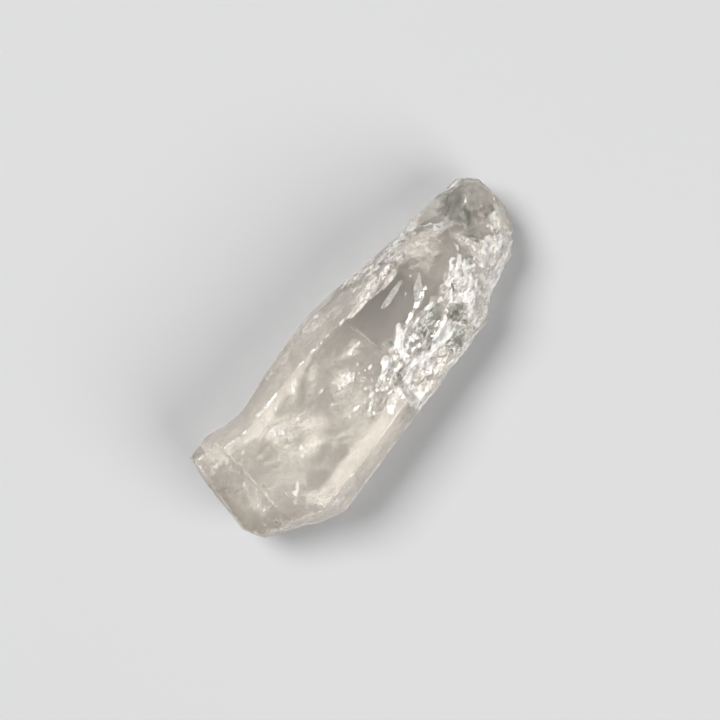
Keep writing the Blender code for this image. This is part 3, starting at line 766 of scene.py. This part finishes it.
def skin_milk(points):
    """How milky the skin is: thinly all over, more over the clouds, on the bevels and low down."""
    x, y, z = points.T
    torn = 0.5 * swell(points, (1.6, 1.2, 1.2), 85) + 0.3 * swell(points, (0.7, 0.5, 0.5), 86)
    over_clouds = CLOUD_MILK * ovals_at(points, CLOUDS, torn, 1.2) * smooth(z, 5.0, 8.0)
    sides = np.maximum(smooth(-y, 6.6, 8.2), 0.4 * smooth(y, 3.2, 4.8) * smooth(-x, 2.0, 7.0))
    bevel = BEVEL_MILK * sides * smooth(-x, 0.0, 2.0)
    bevel = bevel * (0.8 + 0.2 * swell(points, (5.0, 0.8, 0.8), 87))
    walls = WALL_MILK * smooth(-z, -9.0, -6.5) * smooth(z, 0.8, 2.2) * smooth(-x, -3.0, 2.0)
    return np.maximum(np.maximum(SKIN_MILK * milk_of(points) + over_clouds, bevel), walls)


def striped_zone(points):
    """The part of the left bevel where the growth lines are rough enough to show white."""
    x, y, z = points.T
    bevel = smooth(y, 4.6, 5.4) * smooth(x, -5.0, 2.0) * smooth(z, 6.0, 8.0)
    return bevel * (0.7 + 0.3 * swell(points, (4.0, 1.0, 1.0), 88))


SATIN_RISE = (-10.0, -7.5)  # the sides turn from glassy to satin over these depths
SHARP_ANGLE = 24.0

net = block_net(NET_STEP)
net_points = np.array([v.co for v in net.verts])
surface = crystal_points(net_points)
low, high = surface.min(axis=0), surface.max(axis=0)
node_low, node_high = (np.array(corner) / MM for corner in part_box("quartz_crystal"))
fit = (node_high - node_low) / (high - low)  # within a fifth of a percent of 1


def in_frame(points):
    """From millimetres round the crystal's axis to metres in the frame, in the node's own box."""
    return (node_low + (points - low) * fit) * MM


def shown(name, mesh, material):
    """A finished piece of the crystal: it gets its material and rides on the one body."""
    mesh.materials.append(material)
    piece = bpy.data.objects.new(name, mesh)
    bpy.context.collection.objects.link(piece)
    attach(piece, "root")
    return piece


for vertex, spot in zip(net.verts, in_frame(surface)):
    vertex.co = spot
body_mesh = bpy.data.meshes.new("crystal")
net.to_mesh(body_mesh)
net.free()
etched_share, edge_share, broken_share = worked_zones(surface)
worked_share = np.maximum(etched_share, edge_share)
torn_panes = 0.3 * swell(surface, (0.9, 0.7, 0.7), 83) + 0.2 * swell(surface, (0.4, 0.35, 0.35), 84)
panes = smooth(surface[:, 2], 6.5, 8.5) * np.minimum(ovals_at(surface, PANES, torn_panes), 1.0)
keep_on(body_mesh, "worked", np.maximum(worked_share, 0.4 * broken_share) * (1.0 - 0.75 * panes))
# The white of bruises and chips, with painted highlights on edges and struck flakes.
keep_on(body_mesh, "bruise_and_highlight", bruised_and_highlighted(surface, body_mesh, worked_share, panes))
keep_on(body_mesh, "milk", skin_milk(surface))
keep_on(body_mesh, "striped", striped_zone(surface))
# The grey-green mineral, with painted shade over the clear panes.
keep_on(body_mesh, "smudge_and_shade", smudged_and_shaded(surface))
keep_on(body_mesh, "under", smooth(-surface[:, 2], *SATIN_RISE))
body_mesh.shade_smooth()
body_mesh.set_sharp_from_angle(angle=math.radians(SHARP_ANGLE))
crystal = shown("crystal", body_mesh, crystal_skin())
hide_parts("quartz_crystal")

# ----------------------------------------------------------------------
# The milky haze: fluid-filled pores too small to tell apart, left as the crystal grew. It follows
# the growing faces, so it lies in shells one inside another, thin at the clear window, with denser
# clouds in it. A grey-green mineral clouds the outermost shells at the tip, and painted shade
# darkens the shells under the clear panes.

HAZE_SHELLS = (  # depth below the faces, foot, how milky, how much of the clouds and of the smudges and painted pane shade
    (0.6, 6.0, 0.1, 0.6, 0.85),
    (1.8, 5.0, 0.13, 0.65, 0.65),
    (3.6, 0.0, 0.26, 0.75, 0.25),
)
HAZE_STEP = (0.4, 0.45, 0.5)
HAZE_TINT = (0.95, 0.905, 0.84, 1.0)
# The haze's grey-green mineral, also used as painted shade under the clear panes.
HAZE_SMOKE_LIGHT = (0.32, 0.318, 0.268, 1.0)
HAZE_SMOKE_DARK = (0.095, 0.104, 0.082, 1.0)
MATT = {"Roughness": 1.0, "Specular IOR Level": 0.0}


def haze():
    """White pores, seen as a soft cloud drawn out along the crystal."""
    material, shader, place = finish("milky_haze", MATT)
    drift = grain(stretched(place, 0.5, 1.0, 0.8), 0.0036, 6.0, 0.66)
    wisps = grain(stretched(place, 0.6, 1.1, 1.5, -25.0), 0.0012, 7.0, 0.74)
    feathers = grain(stretched(place, 0.35, 1.2, 2.0, -32.0), 0.0006, 6.0, 0.72)
    mottle = grain(stretched(place, 0.7, 1.0, 1.0, 40.0), 0.0011, 6.0, 0.68)
    thin = eased(drift, 0.36, 0.64) * (0.25 + 0.75 * eased(wisps, 0.4, 0.62))
    dense = eased(wisps, 0.4, 0.6) * (0.3 + 0.7 * eased(feathers, 0.4, 0.6))
    # The grey-green mineral and the painted pane shade tint the haze and make it denser.
    smoke_and_shade = kept(place, "smudge_and_shade") * (0.6 + 0.4 * eased(mottle, 0.36, 0.6))
    pale = kept(place, "milk") * (0.15 + 1.1 * thin) + kept(place, "cloud") * (0.04 + 0.96 * dense)
    smoke = blend(eased(mottle, 0.4, 0.64), HAZE_SMOKE_LIGHT, HAZE_SMOKE_DARK)
    feed(shader, "Base Color", blend(2.0 * smoke_and_shade, HAZE_TINT, smoke))
    feed(shader, "Alpha", pale.math("MAXIMUM", pale, 0.85 * smoke_and_shade))
    return material


haze_finish = haze()
for number, (depth, foot, milkiness, cloudiness, smokiness) in enumerate(HAZE_SHELLS):
    shell_net = block_net(HAZE_STEP)
    spine, way = rays_to(np.array([v.co for v in shell_net.verts]))
    shell = out_to_surface(spine, way, np.full(len(spine), depth))
    for vertex, spot in zip(shell_net.verts, shell):
        vertex.co = spot
    below = [vertex for vertex in shell_net.verts if vertex.co.z < foot]
    bmesh.ops.delete(shell_net, geom=below, context="VERTS")
    shell = np.array([v.co for v in shell_net.verts])
    for vertex, spot in zip(shell_net.verts, in_frame(shell)):
        vertex.co = spot
    shell_mesh = bpy.data.meshes.new("haze")
    shell_net.to_mesh(shell_mesh)
    shell_net.free()
    shell_mesh.shade_smooth()
    torn = 0.6 * swell(shell, (2.4, 1.6, 1.6), 41 + number)
    torn = torn + 0.35 * swell(shell, (0.8, 0.5, 0.5), 51 + number)
    clear = 1.0 - 0.8 * np.minimum(ovals_at(shell, PANES, 0.4 * torn), 1.0)
    upper = smooth(shell[:, 2], 6.0, 9.0)
    shown_share = smooth(shell[:, 2], foot - 0.1, foot + 2.0) if foot else 1.0
    keep_on(shell_mesh, "milk", shown_share * milkiness * milk_of(shell) * (1.0 - upper + upper * clear))
    keep_on(shell_mesh, "cloud", cloudiness * upper * ovals_at(shell, CLOUDS, torn, 1.4) * clear)
    # The mineral and the painted pane shade, in this shell.
    keep_on(shell_mesh, "smudge_and_shade", shown_share * smokiness * smudged_and_shaded(shell))
    shown(f"haze_{number + 1}", shell_mesh, haze_finish)

# ----------------------------------------------------------------------
# The films inside: a flat flaw that stands across the crystal, two pale laths of an older growth
# stage that hang in the clear window, and small silvery cracks that hold air.

FILMS = {  # middle, half length, half width, heading of the length, tilt across it, how dense, taper
    "flaw": ((3.4, 0.1, 13.2), 3.2, 1.0, 91.0, 84.0, 0.8, 0.0),
    "lath": ((10.6, 0.85, 13.2), 2.7, 0.5, 3.0, 10.0, 0.75, 0.6),
    "leaf": ((13.4, -1.7, 12.8), 2.4, 0.8, 38.0, 14.0, 0.85, 0.85),
}
CRACKS = {
    "fleck_a": ((-6.4, -2.1, 13.9), 0.8, 0.22, -35.0, 16.0, 0.9, 0.6),
    "fleck_b": ((-12.0, 4.4, 13.6), 0.8, 0.14, 40.0, 16.0, 0.6, 0.6),
    "fleck_c": ((-8.0, 4.1, 13.8), 1.2, 0.14, 26.0, 18.0, 0.6, 0.7),
    "fleck_d": ((-15.2, 1.0, 13.4), 1.1, 0.6, 70.0, 18.0, 0.35, 0.5),
    "fleck_e": ((-3.0, -1.2, 13.2), 1.2, 0.4, 10.0, 14.0, 0.35, 0.5),
    "fleck_f": ((1.0, 0.6, 13.6), 1.0, 0.14, 8.0, 18.0, 0.5, 0.6),
    "fleck_g": ((-13.4, -2.9, 13.0), 1.6, 0.4, -14.0, 15.0, 0.35, 0.5),
    "fleck_h": ((-4.2, -6.2, 12.6), 1.1, 0.24, 30.0, 18.0, 0.7, 0.6),
    "fleck_i": ((16.7, -0.8, 12.6), 0.7, 0.14, 45.0, 16.0, 0.8, 0.6),
}
FILM_TINT = (0.9, 0.89, 0.86, 1.0)
SILVER_TINT = (0.95, 0.95, 0.93, 1.0)
FILM_GRID = (64, 32)
FILM_CLEARANCE = 0.3  # how far inside the crystal every film stays
STRAND_GAP = 7.0  # parts the films in their own grain, so that no two look alike


def sheet_mesh(name, points):
    """A mesh of a grid of points, row by row, without what would come out of the crystal."""
    count = np.arange(len(points)).reshape(FILM_GRID)
    corners = (count[:-1, :-1], count[1:, :-1], count[1:, 1:], count[:-1, 1:])
    faces = np.stack(corners, axis=-1).reshape(-1, 4)
    kept_faces = faces[(beyond_crystal(points) < -FILM_CLEARANCE)[faces].all(axis=1)]
    used, numbers = np.unique(kept_faces, return_inverse=True)
    mesh = bpy.data.meshes.new(name)
    mesh.from_pydata(in_frame(points[used]).tolist(), [], numbers.reshape(-1, 4).tolist())
    mesh.shade_smooth()
    return mesh, used


def film_white():
    """Pale films, dense along their length and hatched finely across."""
    material, shader, place = finish("film_white", {"Base Color": FILM_TINT, **MATT})
    strand = place.node("ShaderNodeAttribute", {"attribute_name": "strand"}, {}, "Vector")
    lengthways = grain(stretched(strand, 0.25, 1.0, 1.0), 0.5, 5.0, 0.65)
    across = grain(stretched(strand, 1.0, 0.16, 1.0, 24.0), 0.22, 3.0, 0.5)
    hatched = 0.55 * eased(lengthways, 0.34, 0.62) + 0.45 * eased(across, 0.4, 0.6)
    feed(shader, "Alpha", kept(place, "milk") * (0.2 + 0.8 * hatched))
    return material


def crack_silver():
    """The thin air in a crack, which mirrors the light."""
    settings = {"Base Color": SILVER_TINT, "Metallic": 1.0, "Roughness": 0.2}
    material, shader, place = finish("crack_silver", settings)
    strand = place.node("ShaderNodeAttribute", {"attribute_name": "strand"}, {}, "Vector")
    lengthways = grain(stretched(strand, 0.4, 1.0, 1.0), 0.3, 6.0, 0.72)
    across = grain(stretched(strand, 1.0, 0.2, 1.0, 24.0), 0.16, 4.0, 0.6)
    flaky = eased(lengthways, 0.42, 0.58) * (0.25 + 0.75 * eased(across, 0.42, 0.58))
    feed(shader, "Alpha", kept(place, "milk") * flaky)
    return material


def films(pieces, material):
    """Thin bent films that taper along their length, each with its own ragged outline."""
    for number, (name, film) in enumerate(pieces.items()):
        middle_of, length, width, heading, tilt, dense, taper = film
        sides = (np.linspace(-1.0, 1.0, steps) for steps in FILM_GRID)
        u, v = (line.ravel() for line in np.meshgrid(*sides, indexing="ij"))
        turn, lean = math.radians(heading), math.radians(tilt)
        lengthways = np.array((math.cos(turn), math.sin(turn), 0.0))
        level = math.cos(lean)
        crossways = np.array((-math.sin(turn) * level, math.cos(turn) * level, math.sin(lean)))
        narrowed = 1.0 - taper * smooth(np.abs(u + 0.2), 0.2, 1.1)
        flat = u[:, None] * length * lengthways + (v * narrowed)[:, None] * width * crossways
        bend = 0.1 * width * swell(flat, (2.6, 2.0, 2.0), 100 + number)
        points = flat + middle_of + bend[:, None] * np.cross(lengthways, crossways)
        mesh, used = sheet_mesh(name, points)
        u, v = u[used], v[used]
        ragged = 0.12 * swell(flat[used], (0.6, 0.5, 0.5), 110 + number)
        edge = np.maximum(np.abs(u), np.abs(v)) + ragged
        keep_on(mesh, "milk", dense * smooth(-edge, -1.0, -0.72))
        strand = np.column_stack((u * length, v * width, np.full(len(u), STRAND_GAP * number)))
        kept_strand = mesh.attributes.new("strand", "FLOAT_VECTOR", "POINT")
        kept_strand.data.foreach_set("vector", strand.astype(np.float32).ravel())
        shown(f"film_{name}", mesh, material)


films(FILMS, film_white())
films(CRACKS, crack_silver())

# ----------------------------------------------------------------------
# The studio: a pale floor under the crystal, a large soft light from the upper left, a weaker one
# opposite, and a camera that looks straight down with the crystal's tip to the upper right.

FLOOR_GAP = 0.08 * MM
AXIS_TURN = math.radians(53.0)  # of the crystal's axis above the view's level
VIEW_SHIFT = (1.14, -0.29)  # of the view's middle from the axis, across and up, in mm
VIEW_WIDTH = 102.9 * MM
GIRDLE_Z = 9.5 * MM
FLOOR_REACH = 3.0
FLOOR_TINT = (0.3, 0.3, 0.303, 1.0)
FLOOR_ROUGHNESS = 0.9
ROOM_TINT = (0.97, 0.97, 0.96, 1.0)
ROOM_STRENGTH = 0.22
FOCAL_LENGTH = 100.0
SENSOR_WIDTH = 36.0
BOUNCES = 24

across = Vector((math.cos(AXIS_TURN), -math.sin(AXIS_TURN), 0.0))
upward = Vector((math.sin(AXIS_TURN), math.cos(AXIS_TURN), 0.0))
axis_middle = np.append((node_low + node_high - low - high)[:2] / 2, 0.0)
middle = Vector(axis_middle * MM) + (across * VIEW_SHIFT[0] + upward * VIEW_SHIFT[1]) * MM


def soft_light(name, aside, above, height, size, power):
    """An area light aimed at the crystal, placed across and up the view and above the floor."""
    light = bpy.data.lights.new(name, "AREA")
    light.shape = "DISK"
    light.size = size
    light.energy = power
    lamp = bpy.data.objects.new(name, light)
    lamp.location = across * aside + upward * above + Vector((0.0, 0.0, height))
    lamp.rotation_mode = "QUATERNION"
    lamp.rotation_quaternion = (-lamp.location).to_track_quat("-Z", "Y")
    bpy.context.collection.objects.link(lamp)


floor_mesh = bpy.data.meshes.new("floor")
floor_corners = [(x * FLOOR_REACH, y * FLOOR_REACH, 0.0) for x, y in ((-1, -1), (1, -1), (1, 1), (-1, 1))]
floor_mesh.from_pydata(floor_corners, [], [(0, 1, 2, 3)])
pale_floor, *_ = finish("pale_floor", {"Base Color": FLOOR_TINT, "Roughness": FLOOR_ROUGHNESS})
floor_mesh.materials.append(pale_floor)
floor = bpy.data.objects.new("floor", floor_mesh)
floor.location.z = -FLOOR_GAP
bpy.context.collection.objects.link(floor)

soft_light("window", aside=-0.45, above=0.25, height=0.85, size=0.5, power=16.5)
soft_light("reflector", aside=0.5, above=-0.3, height=0.5, size=0.6, power=8.0)

world = bpy.data.worlds.new("room")
bpy.context.scene.world = world
world.use_nodes = True
room_light = world.node_tree.nodes["Background"]
room_light.inputs["Color"].default_value = ROOM_TINT
room_light.inputs["Strength"].default_value = ROOM_STRENGTH

lens = bpy.data.cameras.new("camera")
lens.lens = FOCAL_LENGTH
lens.sensor_width = SENSOR_WIDTH
lens.clip_start = 0.005
camera = bpy.data.objects.new("camera", lens)
bpy.context.collection.objects.link(camera)
camera.location = middle + Vector((0.0, 0.0, GIRDLE_Z + VIEW_WIDTH * FOCAL_LENGTH / SENSOR_WIDTH))
camera.rotation_mode = "QUATERNION"
camera.rotation_quaternion = Matrix((across, upward, Vector((0.0, 0.0, 1.0)))).transposed().to_quaternion()
bpy.context.scene.camera = camera
bpy.context.scene.view_settings.view_transform = "Standard"
# Light crosses the crystal's faces and its haze over and over before it comes out.
paths = bpy.context.scene.cycles
paths.max_bounces = BOUNCES
paths.transmission_bounces = BOUNCES
paths.transparent_max_bounces = 40
paths.diffuse_bounces = 8
paths.glossy_bounces = 8
